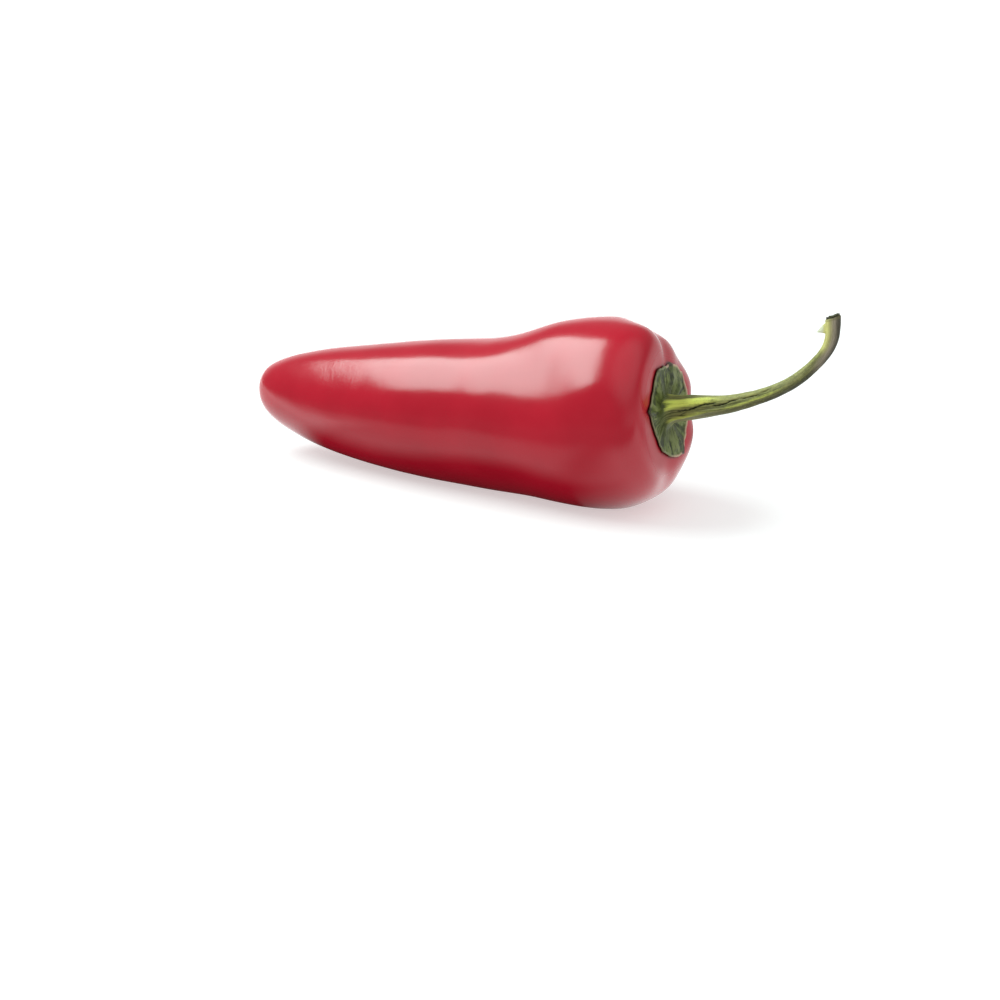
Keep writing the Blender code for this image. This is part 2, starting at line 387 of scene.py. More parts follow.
def buildPod():
    def place(row, angle):
        distance = podOutline.length * row / pod["rows"]
        point = podSkin(distance, angle)
        fromTip = podOutline.length - distance
        ragged = pod["scarRadius"] * (1.0 + 0.12 * math.sin(3 * angle + 0.7) + 0.07 * math.sin(7 * angle))
        sink = pod["scarSink"] * bell(fromTip, ragged)
        sink -= pod["scarRim"] * bell(fromTip - pod["scarRimAt"] * ragged, pod["scarRimWidth"])
        return point + Vector((sink, 0.0, 0.0))

    bm, rowOf, turnOf = spunSkin(pod["rows"], pod["columns"], place)
    grown = bm.verts.layers.float_vector.new("grown")
    paintedShadeUnderCalyx = bm.verts.layers.float.new("paintedShadeUnderCalyx")
    shifts = []
    for vert in bm.verts:
        angle = vert[turnOf]
        distance = podOutline.length * vert[rowOf] / pod["rows"]
        fromTip = podOutline.length - distance
        # painted shade: a dark line on the skin just outside the calyx's edge
        if distance < pod["calyxShadeWithin"]:
            vert[paintedShadeUnderCalyx] = ramp(distance - calyxReach(angle), pod["calyxShadeWidth"], 0.0)
        vert[grown] = (fromTip, math.sin(angle), math.cos(angle))
        shifts.append(vert.normal * podRelief(distance, fromTip, angle))
    for vert, shift in zip(bm.verts, shifts):
        vert.co += shift
    return bm


# The calyx and the stem

green = dict(
    # the calyx's edge: turn in degrees, and reach from the stem in mm along the pod's skin, straight between
    edge=((0.0, 8.4), (12.0, 8.4), (26.0, 9.6), (35.0, 9.3), (48.0, 8.5), (66.0, 8.95), (76.0, 10.4),
          (83.0, 8.5), (100.0, 6.7), (122.0, 5.9), (136.0, 6.25), (152.0, 6.9), (180.0, 8.1), (200.0, 9.5),
          (212.0, 10.4), (222.0, 8.9), (236.0, 8.5), (250.0, 8.9), (278.0, 9.3), (290.0, 9.4), (302.0, 10.9),
          (318.0, 10.3), (333.0, 9.9), (345.0, 8.9)),
    # its teeth: turn in degrees, and how dark and sharp the tip is
    teeth=((26.0, 0.6), (76.0, 1.0), (152.0, 0.5), (212.0, 1.0), (250.0, 0.4), (302.0, 0.5), (333.0, 1.0)),
    toothSpike=0.25, toothWidthDeg=4.0, edgeRagged=0.22, raggedPerTurn=34.0,
    gap=0.14, rimThickness=0.30, rimLift=0.06, swell=0.45, swellSteepness=2.0, mainRib=0.22, ribSteepness=3.0,
    pleat=0.12, pleatsPerTurn=52.0, pleatsPerMm=0.16, lump=0.17, lumpsPerTurn=9.0, lumpsPerMm=0.45,
    # where they fade: as shares of the calyx's reach, and over the foot of the flare in mm
    pleatsFade=(1.0, 0.86), lumpsFade=(1.0, 0.8), reliefFade=(1.6, -1.0),
    # the pale edge and the teeth's dark tips, as shares of the calyx's reach
    rimStarts=0.93, rimStartVaries=0.05, rimFull=0.99, tipDarkens=(0.82, 0.97), tipWidth=1.5,
    flareStartsAt=3.6, flareCorner=0.92,
    # the stem's line in mm from the middle of the calyx: along the pod, towards the back, up
    stemLine=((0.0, 0.0, 0.4), (6.0, 0.0, 1.1), (12.0, 0.1, 1.3), (18.0, 0.2, 2.7), (24.0, 0.3, 4.8),
              (29.35, 0.2, 8.8), (32.55, 0.0, 12.55), (32.6, 0.0, 17.35)),
    flareLength=4.4, flareRadius=2.05, stemRadius=1.2, stemEndRadius=1.5,
    narrowsOver=12.0, endSwellsOver=8.0,
    # ribs of the stalk: turn in degrees, half-width, height; they twist a little
    ribs=((20.0, 20.0, 0.12), (128.0, 24.0, 0.12), (178.0, 22.0, 0.12), (232.0, 22.0, 0.11),
          (292.0, 24.0, 0.12), (338.0, 18.0, 0.09)),
    ribsStart=(3.0, 12.0), ribsLowered=0.35, twistDegPerMm=1.6,
    striation=0.035, striationsPerTurn=22.0, striationsPerMm=0.12, striationsStart=(0.0, 5.0),
    knot=0.05, knotsPerTurn=4.0, knotsPerMm=0.35, knotsStart=(2.0, 8.0),
    # strands: (distance, turn) knots, half-width in degrees, height, where they start and end, how bright:
    # their yellow-green together with a painted highlight
    strands=((((-1.0, 64.0), (2.0, 60.0), (8.0, 48.0), (14.0, 40.0)), 22.0, 0.40, 0.0, 15.0, 1.0),
             (((-1.0, 112.0), (3.0, 106.0), (5.5, 100.0)), 9.0, 0.26, 0.0, 5.5, 0.4),
             (((-1.0, 142.0), (2.0, 134.0), (6.0, 118.0), (10.0, 104.0), (14.0, 98.0)),
              12.0, 0.36, 0.0, 14.0, 0.5),
             (((11.0, 108.0), (16.0, 96.0), (24.0, 86.0)), 13.0, 0.10, 11.0, 28.0, 0.50),
             (((-4.0, 186.0), (10.0, 190.0)), 18.0, 0.25, 0.0, 12.0, 0.4),
             (((-4.0, 240.0), (10.0, 236.0)), 20.0, 0.25, 0.0, 13.0, 0.5),
             (((-4.0, 300.0), (10.0, 304.0)), 20.0, 0.28, 0.0, 13.0, 0.6),
             (((-4.0, 352.0), (10.0, 356.0)), 18.0, 0.22, 0.0, 12.0, 0.4)),
    strandStarts=(0.6, 2.0), strandFadesOver=7.0,
    # the dark cracks: (distance, turn in degrees) knots, (distance, depth) knots, and half-width in mm
    cracks=((((1.6, 98.0), (5.3, 92.0), (6.8, 85.0), (8.1, 71.0), (10.0, 63.0), (11.2, 62.0)),
             ((1.6, 0.0), (4.0, 0.14), (6.0, 0.38), (9.5, 0.36), (10.9, 0.2), (11.4, 0.0)), 0.15),
            (((10.2, 80.0), (12.2, 77.0), (14.0, 60.0), (15.7, 56.0), (17.0, 60.0)),
             ((10.0, 0.0), (10.8, 0.34), (13.2, 0.30), (15.0, 0.16), (16.6, 0.0)), 0.14),
            (((15.6, 62.0), (17.0, 62.0), (18.8, 64.0), (20.0, 55.0), (21.8, 50.0), (22.6, 47.0)),
             ((15.6, 0.0), (16.2, 0.2), (18.4, 0.16), (19.2, 0.03), (20.2, 0.17), (22.6, 0.0)), 0.11),
            (((23.4, 47.0), (25.0, 43.0), (27.0, 41.0)),
             ((23.4, 0.0), (24.2, 0.13), (26.4, 0.08), (27.2, 0.0)), 0.10),
            (((2.4, 128.0), (3.7, 120.0), (5.6, 98.0)),
             ((2.8, 0.0), (4.2, 0.12), (5.4, 0.16), (6.1, 0.0)), 0.11),
            (((8.0, 96.0), (10.0, 92.0), (13.0, 94.0)),
             ((8.0, 0.0), (9.5, 0.09), (11.5, 0.07), (13.0, 0.0)), 0.10)),
    crackWanderDeg=4.0, crackWandersPerMm=1.6, crackWidthVaries=0.5, crackVariesPerMm=2.3,
    crackSharpness=0.8, crackDarkAt=0.24, crackUnbroken=0.75, crackBreaks=0.5, crackBreaksPerMm=1.1,
    # a torn flap near the end: where it starts, stands out most and stops, measured from the end
    flapTurnDeg=5.0, flapTurnPerMm=4.0, flapHalfWidthDeg=9.0, flapReach=1.45, flapDroop=0.5,
    flapTattered=0.25, flapTattersPerMm=3.0, flapFromEnd=(1.0, 3.1, 3.7),
    # the cut: shares run from its rim, 0, to its middle, 1
    cutSink=0.5, cutDishSteepness=2.6, cutDishUneven=0.25, cutColourFrom=(0.05, 0.3),
    cutRagged=0.16, cutRaggedAt=0.08, cutRaggedWidth=0.09, cutRaggedPerTurn=16.0,
    cutGrain=0.05, cutGrainPerMm=3.0,
    cutChamfer=0.30, cutChamferLength=0.45, cutSlant=0.7, cutSlantsOver=2.5,
    rows=(("under", 8), ("rim", 8), ("cap", 74), ("flare", 40), ("stalk", 190), ("cut", 20)),
    columns=240,
)
stemLine = SmoothLine(green["stemLine"])


def inTurns(knots):
    turns = [(math.radians(at), value) for at, value in knots]
    return (*turns, (turns[0][0] + math.tau, turns[0][1]))


edgeTurns, teethTurns = inTurns(green["edge"]), inTurns(green["teeth"])


def around(turns, angle):
    # the pair of (turn, value) knots on either side of an angle, and how far it lies between them
    angle %= math.tau
    if angle < turns[0][0]:
        angle += math.tau
    for (start, value), (end, nextValue) in zip(turns, turns[1:]):
        if angle <= end:
            break
    return (angle - start) / (end - start), end - start, value, nextValue


def toothShare(angle, widthDeg):
    return sum(dark * turnBell(angle, at, widthDeg) for at, dark in green["teeth"])


def calyxReach(angle):
    share, span, reach, nextReach = around(edgeTurns, angle)
    straight = reach * nextReach * math.sin(span)
    straight /= reach * math.sin(share * span) + nextReach * math.sin((1.0 - share) * span)
    ragged = green["edgeRagged"] * ringNoise(0.0, angle, green["raggedPerTurn"], 0.0, seed=7.0)
    return straight + green["toothSpike"] * toothShare(angle, green["toothWidthDeg"]) + ragged


def mainRib(angle):
    return math.cos(math.tau * around(teethTurns, angle)[0])


def underside(share):
    # the calyx's height over the pod's skin: its edge lifts a little
    return green["gap"] + green["rimLift"] * share ** 4


def calyxTop(distance, angle):
    share = distance / calyxReach(angle)
    swell = green["swell"] * smoothStep((1.0 - share) * green["swellSteepness"])
    ribbing = green["mainRib"] * mainRib(angle) * smoothStep((1.0 - share) * green["ribSteepness"])
    return podSkin(distance, angle, underside(share) + green["rimThickness"] + swell + ribbing)


def stemRadius(distance):
    narrowing = bell(distance - green["flareLength"], green["narrowsOver"])
    narrowing = narrowing if distance > green["flareLength"] else 1.0
    fromEnd = stemLine.length - distance
    radius = green["stemRadius"] + (green["flareRadius"] - green["stemRadius"]) * narrowing
    ending = smoothStep(1.0 - fromEnd / green["endSwellsOver"])
    radius += (green["stemEndRadius"] - green["stemRadius"]) * ending
    return radius - green["cutChamfer"] * max(0.0, 1.0 - fromEnd / green["cutChamferLength"])


def stemPoint(distance, angle, shareOfRadius=1.0, sink=0.0):
    centre, along = stemLine.at(distance)
    side = (Vector((0.0, -1.0, 0.0)) + along * along.y).normalized()
    up = along.cross(side).normalized() * -1.0
    radius = stemRadius(distance) * shareOfRadius
    slant = green["cutSlant"] * ramp(stemLine.length - distance, green["cutSlantsOver"], 0.0)
    sink += slant * (0.5 + 0.5 * shareOfRadius * math.cos(angle))
    return (podSkin(0.0, 0.0) + centre - along * sink + side * (radius * math.sin(angle))
            + up * (radius * math.cos(angle)))


def greenPoint(stage, share, angle):
    # the smooth form: under the calyx, round its rim, back over its top, up the flare and stalk, over the cut
    reach = calyxReach(angle)
    if stage == "under":
        return podSkin(reach * share, angle, underside(share))
    if stage == "rim":
        roll = math.pi * (share - 0.5)
        half = green["rimThickness"] / 2
        return podSkin(reach + half * math.cos(roll), angle, underside(1.0) + half + half * math.sin(roll))
    if stage == "cap":
        return calyxTop(reach + (green["flareStartsAt"] - reach) * share, angle)
    if stage == "flare":
        start, end = calyxTop(green["flareStartsAt"], angle), stemPoint(green["flareLength"], angle)
        inward = end - start
        corner = start + Vector((0.0, inward.y, inward.z)) * green["flareCorner"]
        return start * (1 - share) ** 2 + corner * (2 * share * (1 - share)) + end * share ** 2
    if stage == "stalk":
        return stemPoint(green["flareLength"] + (stemLine.length - green["flareLength"]) * share, angle)
    uneven = 1.0 - green["cutDishUneven"] * (1.0 - math.cos(angle - 1.0))
    sink = green["cutSink"] * smoothStep(share * green["cutDishSteepness"]) * uneven
    return stemPoint(stemLine.length, angle, 1.0 - share, sink)


def grownAt(stage, share, angle):
    # one distance all along the piece: below 0 on the calyx, 0 where the flare starts, then up to the cut
    if stage in ("under", "rim"):
        return green["flareStartsAt"] - calyxReach(angle)
    if stage == "cap":
        return (green["flareStartsAt"] - calyxReach(angle)) * (1.0 - share)
    if stage == "flare":
        return green["flareLength"] * share
    if stage == "stalk":
        return green["flareLength"] + (stemLine.length - green["flareLength"]) * share
    return stemLine.length


def alongNoise(along, perMm, seed):
    return bumpiness(Vector((along * perMm, seed, 0.0)), 3)


def crackAt(along, angle):
    # how deep and how dark the cracks are at this place of the stem
    depth = dark = 0.0
    for number, (knots, depths, halfWidth) in enumerate(green["cracks"]):
        here = between(along, depths)
        if here <= 0.0:
            continue
        wander = alongNoise(along, green["crackWandersPerMm"], 5.0 + number)
        aside = turnBetween(angle, math.radians(between(along, knots) + green["crackWanderDeg"] * wander))
        aside *= stemRadius(max(along, green["flareLength"]))
        varies = alongNoise(along, green["crackVariesPerMm"], 15.0 + number)
        wide = halfWidth * (1.0 + green["crackWidthVaries"] * varies)
        share = bell(aside, wide) ** green["crackSharpness"]
        depth = max(depth, here * share)
        breaks = alongNoise(along, green["crackBreaksPerMm"], 25.0 + number)
        broken = green["crackUnbroken"] + green["crackBreaks"] * breaks
        dark = max(dark, share * min(1.0, here / green["crackDarkAt"]) * min(1.0, broken))
    return depth, dark


def strandFade(along, starts, ends):
    before, after = green["strandStarts"]
    return ramp(along, starts - before, starts + after) * ramp(along, ends, ends - green["strandFadesOver"])


# how strongly a strand's yellow-green and its painted highlight show here
def strandColourAndSheen(along, angle):
    return max(bright * strandFade(along, starts, ends) * turnBell(angle, between(along, knots), width)
               for knots, width, _, starts, ends, bright in green["strands"])


def stemRelief(along, angle):
    # strands at the foot, ribs along the stalk, fine striations
    height = 0.0
    for knots, width, size, starts, ends, _ in green["strands"]:
        fade = strandFade(along, starts - 1.0, ends)
        if fade > 0.0:
            height += size * fade * turnBell(angle, between(along, knots), width)
    stalk = ramp(along, *green["ribsStart"])
    twist = math.radians(green["twistDegPerMm"]) * (along - green["flareLength"])
    for turn, width, size in green["ribs"]:
        height += size * stalk * (turnBell(angle - twist, turn, width) - green["ribsLowered"])
    striae = ringNoise(along, angle - twist, green["striationsPerTurn"], green["striationsPerMm"], 11.0, 4)
    knots = ringNoise(along, angle, green["knotsPerTurn"], green["knotsPerMm"], 17.0)
    height += green["striation"] * ramp(along, *green["striationsStart"]) * striae
    return height + green["knot"] * ramp(along, *green["knotsStart"]) * knots


def flapAt(fromEnd, angle):
    start, apex, stop = green["flapFromEnd"]
    along = ramp(fromEnd, start, apex) * ramp(fromEnd, stop, apex)
    tattered = 1.0 + green["flapTattered"] * alongNoise(fromEnd, green["flapTattersPerMm"], 9.0)
    turn = green["flapTurnDeg"] + green["flapTurnPerMm"] * fromEnd
    return along * tattered * turnBell(angle, turn, green["flapHalfWidthDeg"])


def calyxRelief(along, angle, outer, pleat):
    # pleats and lumps that end at the calyx's edge and where the stem's foot starts
    lump = ringNoise(along, angle, green["lumpsPerTurn"], green["lumpsPerMm"], 4.0)
    height = green["pleat"] * pleat * ramp(outer, *green["pleatsFade"])
    height += green["lump"] * lump * ramp(outer, *green["lumpsFade"])
    return height * ramp(along, *green["reliefFade"])


def rimShare(stage, outer, angle):
    # how far a place belongs to the calyx's pale edge, which is wider at its back
    if stage == "rim":
        return 1.0
    starts = green["rimStarts"] + green["rimStartVaries"] * math.sin(angle)
    return ramp(outer, starts, green["rimFull"]) if stage == "cap" else 0.0


def buildGreen():
    stations = [("under", 0.0)]
    for stage, rows in green["rows"]:
        stations += [(stage, (step + 1) / rows) for step in range(rows)]

    def place(row, angle):
        stage, share = stations[row]
        return greenPoint(stage, share, angle)

    bm, rowOf, turnOf = spunSkin(len(stations) - 1, green["columns"], place)
    grown = bm.verts.layers.float_vector.new("grown")
    names = ("rim", "tooth", "crack", "flap", "cut", "pleat", "strandAndSheen")
    layers = {name: bm.verts.layers.float.new(name) for name in names}
    shifts = []
    for vert in bm.verts:
        stage, share = stations[vert[rowOf]]
        angle = vert[turnOf]
        along = grownAt(stage, share, angle)
        vert[grown] = (along, math.sin(angle), math.cos(angle))
        outer = min(1.0, max(0.0, along / (green["flareStartsAt"] - calyxReach(angle))))
        height = 0.0
        pleat = ringNoise(along, angle, green["pleatsPerTurn"], green["pleatsPerMm"], 1.0, 4)
        vert[layers["pleat"]] = pleat
        if stage in ("cap", "flare"):
            height += calyxRelief(along, angle, outer, pleat)
        if stage in ("cap", "flare", "stalk"):
            height += stemRelief(along, angle)
            depth, vert[layers["crack"]] = crackAt(along, angle)
            height -= depth
            vert[layers["strandAndSheen"]] = strandColourAndSheen(along, angle)
        shift = vert.normal * height
        if stage == "stalk":
            flap = flapAt(stemLine.length - along, angle)
            vert[layers["flap"]] = min(1.0, flap)
            direction = stemLine.at(along)[1]
            radial = vert.normal - direction * vert.normal.dot(direction)
            shift += radial.normalized() * green["flapReach"] * flap
            shift -= direction * green["flapDroop"] * flap * flap
        if stage == "cut":
            vert[layers["cut"]] = ramp(share, *green["cutColourFrom"])
            edge = green["cutRagged"] * bell(share - green["cutRaggedAt"], green["cutRaggedWidth"])
            ragged = edge * ringNoise(0.0, angle, green["cutRaggedPerTurn"], 0.0, seed=2.0)
            grain = green["cutGrain"] * bumpiness(vert.co * green["cutGrainPerMm"], 3)
            shift += stemLine.at(stemLine.length)[1] * (ragged + grain)
        vert[layers["rim"]] = rimShare(stage, outer, angle)
        if stage in ("cap", "rim"):
            tooth = toothShare(angle, green["toothWidthDeg"] * green["tipWidth"])
            vert[layers["tooth"]] = tooth * ramp(outer, *green["tipDarkens"])
        shifts.append(shift)
    for vert, shift in zip(bm.verts, shifts):
        vert.co += shift
    return bm


# Materials

skinLook = dict(
    red=(0.46, 0.0012, 0.0165), warmRed=(0.51, 0.0022, 0.0195), fineRed=(0.54, 0.008, 0.025), fineShare=0.10,
    # the flower's scar, by its distance from the tip in mm, and the dark line of painted shade round the
    # calyx
    scar=(0.16, 0.075, 0.03), scarFades=(2.6, 0.9), scarShare=0.85,
    paintedShadeUnderCalyx=(0.060, 0.004, 0.004), paintedShadeUnderCalyxShare=0.8,
    roughness=0.145, roughnessVaries=0.05, scarRougher=0.3, besideCalyxRougher=0.2, besideCalyx=(13.0, 9.5),
    bumpHeight=0.00002,
)


def redSkin():
    look = skinLook
    material, nodes, shader = newMaterial("ripe_red_skin")
    place = nodes.make("ShaderNodeTexCoord", None, None, "Object")
    grown = nodes.parts(nodes.attribute("grown", "Vector"))
    fromTip = grown[0]
    scar = fromTip.step(*look["scarFades"])
    patches = nodes.noise(place, 70.0)
    fine = nodes.noise(place, 420.0)
    colour = nodes.mix(patches.step(0.35, 0.68), look["red"], look["warmRed"])
    colour = nodes.mix(fine.step(0.3, 0.75) * look["fineShare"], colour, look["fineRed"])
    colour = nodes.mix(scar * look["scarShare"], colour, look["scar"])
    # painted shade: the skin darkened in a line round the calyx
    colour = nodes.mix(nodes.attribute("paintedShadeUnderCalyx") * look["paintedShadeUnderCalyxShare"], colour, look["paintedShadeUnderCalyx"])
    # fine ripples that run round the pod, in patches, and pores
    ripples = nodes.along(grown, 2.2, 5.0)
    patchy = nodes.noise(place, 130.0, 2.0).step(0.4, 0.62)
    pores = nodes.noise(place, 1500.0, 2.0)
    bump = nodes.bump(ripples * (patchy * 0.7 + 0.3) + pores * 0.12, look["bumpHeight"])
    far, near = look["besideCalyx"]
    besideCalyx = fromTip.step(podOutline.length - far, podOutline.length - near)
    rough = (patches + fine) * look["roughnessVaries"] + look["roughness"]
    rough = rough + scar * look["scarRougher"] + besideCalyx * look["besideCalyxRougher"]
    feed(nodes, shader, Base_Color=colour, Roughness=rough, Normal=bump, IOR=1.5)
    return material


greenLook = dict(
    # the calyx
    calyx=(0.056, 0.080, 0.012), calyxLight=(0.100, 0.132, 0.024), veinPale=(0.215, 0.255, 0.092),
    veinDark=(0.018, 0.028, 0.005), calyxPatch=(0.115, 0.160, 0.026), calyxSpot=(0.022, 0.032, 0.005),
    calyxFoot=(0.060, 0.078, 0.010), rim=(0.26, 0.29, 0.145), rimAtBack=(0.74, 0.52, 0.36),
    toothTip=(0.030, 0.028, 0.012), crack=(0.022, 0.026, 0.007),
    # the stalk
    # the strand colour is yellow-green brightened by a painted highlight
    stalk=(0.100, 0.112, 0.026), stalkLight=(0.260, 0.262, 0.082), strandAndSheen=(0.85, 0.98, 0.17),
    # the stalk's top colour is painted light: a paler upper side
    strandDull=(0.36, 0.42, 0.06), strandPale=(0.80, 0.82, 0.26), paintedLightOnStalkTop=(0.44, 0.44, 0.145),
    # the colour below the stalk is painted shade
    paintedShadeBelowStalk=(0.078, 0.080, 0.026), rising=(0.44, 0.44, 0.19), fleckDark=(0.060, 0.068, 0.016),
    # the colour below the rising stem is painted shade
    fleckLight=(0.42, 0.46, 0.12), paintedShadeBelowRise=(0.036, 0.038, 0.015), speckle=(0.105, 0.115, 0.045),
    # the hook and the cut
    outside=(0.335, 0.290, 0.205), outsidePale=(0.48, 0.43, 0.335), outsideDark=(0.140, 0.118, 0.068),
    inside=(0.73, 0.70, 0.26), insideDull=(0.40, 0.42, 0.10), outsideEdge=(0.040, 0.038, 0.022),
    nearCut=(0.190, 0.175, 0.062), cutRim=(0.030, 0.032, 0.008), cutFace=(0.20, 0.185, 0.080),
    flap=(0.80, 0.84, 0.60),
    roughness=0.46, roughnessVaries=0.2, bumpHeight=0.00006,
)


def calyxColour(nodes, place, grown, mottle):
    look = greenLook
    patch = nodes.noise(place, 330.0)
    radial = nodes.along(grown, 0.35, 13.0, 4.0, 0.65)
    veins = nodes.attribute("pleat") * 0.35 + radial * 0.62 + mottle * 0.38
    colour = nodes.mix(mottle.step(0.36, 0.62), look["calyx"], look["calyxLight"])
    colour = nodes.mix(veins.step(0.50, 0.61) * 0.85, colour, look["veinPale"])
    colour = nodes.mix(veins.step(0.475, 0.37) * 0.9, colour, look["veinDark"])
    colour = nodes.mix(patch.step(0.52, 0.70) * 0.6, colour, look["calyxPatch"])
    colour = nodes.mix((patch + mottle).step(0.90, 0.76) * 0.6, colour, look["calyxSpot"])
    foot = grown[0].step(-2.6, 0.0)
    return nodes.mix(foot * 0.6, colour, look["calyxFoot"])


def stalkColour(nodes, grown, mottle, streak, fineStreak):
    look = greenLook
    along, _, top = grown
    colour = nodes.mix(streak.step(0.38, 0.62), look["stalk"], look["stalkLight"])
    # the strands: yellow-green, with a painted highlight along them
    light = (nodes.attribute("strandAndSheen") + streak * 0.7 - 0.35).step(0.15, 0.85)
    colour = nodes.mix(light * 0.92, colour, look["strandAndSheen"])
    colour = nodes.mix(light * streak.step(0.48, 0.38) * 0.5, colour, look["strandDull"])
    colour = nodes.mix(light * fineStreak.step(0.54, 0.66) * 0.4, colour, look["strandPale"])
    # painted light: the stalk's upper side made paler
    paintedTopLight = (top + streak * 0.7 - 0.35).step(0.25, 0.8) * along.step(5.0, 13.0)
    colour = nodes.mix(paintedTopLight * 0.7, colour, look["paintedLightOnStalkTop"])
    # painted shade: the stalk's underside made darker
    shadeBelow = (top + streak * 0.5 - 0.25).step(-0.05, -0.6) * along.step(4.0, 14.0)
    colour = nodes.mix(shadeBelow * 0.65, colour, look["paintedShadeBelowStalk"])
    rising = along.step(20.0, 25.0) * along.step(31.0, 28.0) * top.step(-0.4, 0.2)
    colour = nodes.mix(rising * 0.45, colour, look["rising"])
    # short flecks, dark and light, and painted shade on the lower side where the stem starts to rise
    flecks = nodes.along(grown, 1.5, 8.0, 3.0, 0.7)
    middle = along.step(6.0, 11.0)
    colour = nodes.mix(flecks.step(0.44, 0.34) * middle * 0.6, colour, look["fleckDark"])
    colour = nodes.mix(flecks.step(0.56, 0.68) * middle * 0.5, colour, look["fleckLight"])
    paintedShadeBelowRise = (top + flecks * 0.5 - 0.25).step(-0.30, -0.75) * along.step(15.0, 22.0)
    colour = nodes.mix(paintedShadeBelowRise * 0.9, colour, look["paintedShadeBelowRise"])
    speckle = mottle.step(0.56, 0.40) * along.step(3.0, 9.0)
    return nodes.mix(speckle * 0.35, colour, look["speckle"])


def hookColour(nodes, grown, colour, streak, fineStreak):
    # the hooked end, brown outside and yellow-green inside, over the stalk's own colour
    look = greenLook
    along, _, top = grown
    wide = nodes.along(grown, 0.1, 2.2, roughness=0.55)
    outside = (top + wide * 0.4 + streak * 0.3 - 0.35).step(0.42, -0.25) * along.step(28.5, 33.5)
    colour = nodes.mix(outside * 0.95, colour, look["outside"])
    colour = nodes.mix(outside * fineStreak.step(0.52, 0.64) * 0.7, colour, look["outsidePale"])
    colour = nodes.mix(outside * fineStreak.step(0.47, 0.36) * 0.8, colour, look["outsideDark"])
    inside = (top + wide * 0.4 + fineStreak * 0.6 - 0.5).step(-0.45, 0.55) * along.step(32.2, 35.0)
    colour = nodes.mix(inside * 0.95, colour, look["inside"])
    colour = nodes.mix(inside * streak.step(0.48, 0.36) * 0.6, colour, look["insideDull"])
    edge = (top + fineStreak * 0.4 - 0.2).step(-0.48, -0.95) * along.step(30.0, 33.0)
    return nodes.mix(edge * 0.9, colour, look["outsideEdge"])


def greenStem():
    look = greenLook
    material, nodes, shader = newMaterial("green_calyx_and_stem")
    place = nodes.make("ShaderNodeTexCoord", None, None, "Object")
    grown = nodes.parts(nodes.attribute("grown", "Vector"))
    along, side, _ = grown
    mottle = nodes.noise(place, 900.0, 4.0, 0.6)
    streak = nodes.along(grown, 0.25, 9.0, 4.0, 0.65)
    fineStreak = nodes.along(grown, 0.4, 22.0)
    calyx = calyxColour(nodes, place, grown, mottle)
    stalk = stalkColour(nodes, grown, mottle, streak, fineStreak)
    stalk = hookColour(nodes, grown, stalk, streak, fineStreak)
    stalkStarts = (along + mottle * 1.6 - 0.8 + (streak - 0.5) * 3.0).step(1.1, 3.2)
    colour = nodes.mix(stalkStarts, calyx, stalk)
    colour = nodes.mix(nodes.attribute("crack").step(0.08, 0.65) * 0.95, colour, look["crack"])
    rim = nodes.mix(side.step(0.1, -0.3), look["rim"], look["rimAtBack"])
    colour = nodes.mix(nodes.attribute("rim") * mottle.step(0.3, 0.5, 0.45, 0.8), colour, rim)
    colour = nodes.mix(nodes.attribute("tooth").step(0.3, 0.75) * 0.9, colour, look["toothTip"])
    nearCut = along.step(stemLine.length - 1.0, stemLine.length - 0.6)
    colour = nodes.mix(nearCut * 0.5, colour, look["nearCut"])
    cutRim = along.step(stemLine.length - 0.3, stemLine.length - 0.1)
    colour = nodes.mix(cutRim, colour, look["cutRim"])
    cut = nodes.attribute("cut")
    colour = nodes.mix(cut * 0.9, colour, look["cutFace"])
    colour = nodes.mix(nodes.attribute("flap").step(0.10, 0.45), colour, look["flap"])
    # striations, grain, and on the calyx its mottling
    striae = nodes.along(grown, 0.5, 15.0)
    grain = nodes.noise(place, 2600.0)
    height = striae * along.step(-1.0, 4.0, 0.4, 1.0) + grain * 0.5 + mottle * along.step(2.0, -1.0) * 0.8
    rough = (mottle + cut) * look["roughnessVaries"] + look["roughness"]
    feed(nodes, shader, Base_Color=colour, Roughness=rough, Normal=nodes.bump(height, look["bumpHeight"]),
         IOR=1.40)
    return material


# The pieces, put together

tipForward = -0.56  # where the tip lies against the solid's tip, in mm along X
podBm = buildPod()
print("pod shaped:", len(podBm.verts), "points")
greenBm = buildGreen()
print("calyx and stem shaped:", len(greenBm.verts), "points")
floorHeight = layDown(podBm)
layDown(greenBm, floorHeight)
lowX = min(vert.co.x for vert in podBm.verts)
shift = Matrix.Translation((podBox[0].x / mm - lowX + tipForward, 0.0, -floorHeight))
for bm in (podBm, greenBm):
    bm.transform(Matrix.Scale(mm, 4) @ shift)
podPiece = addPiece("pod_skin", podBm, redSkin())
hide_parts("pod")
greenPiece = addPiece("calyx_and_stem_skin", greenBm, greenStem())
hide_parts("stem_and_calyx")
print("pieces placed")


# Floor, lights and camera

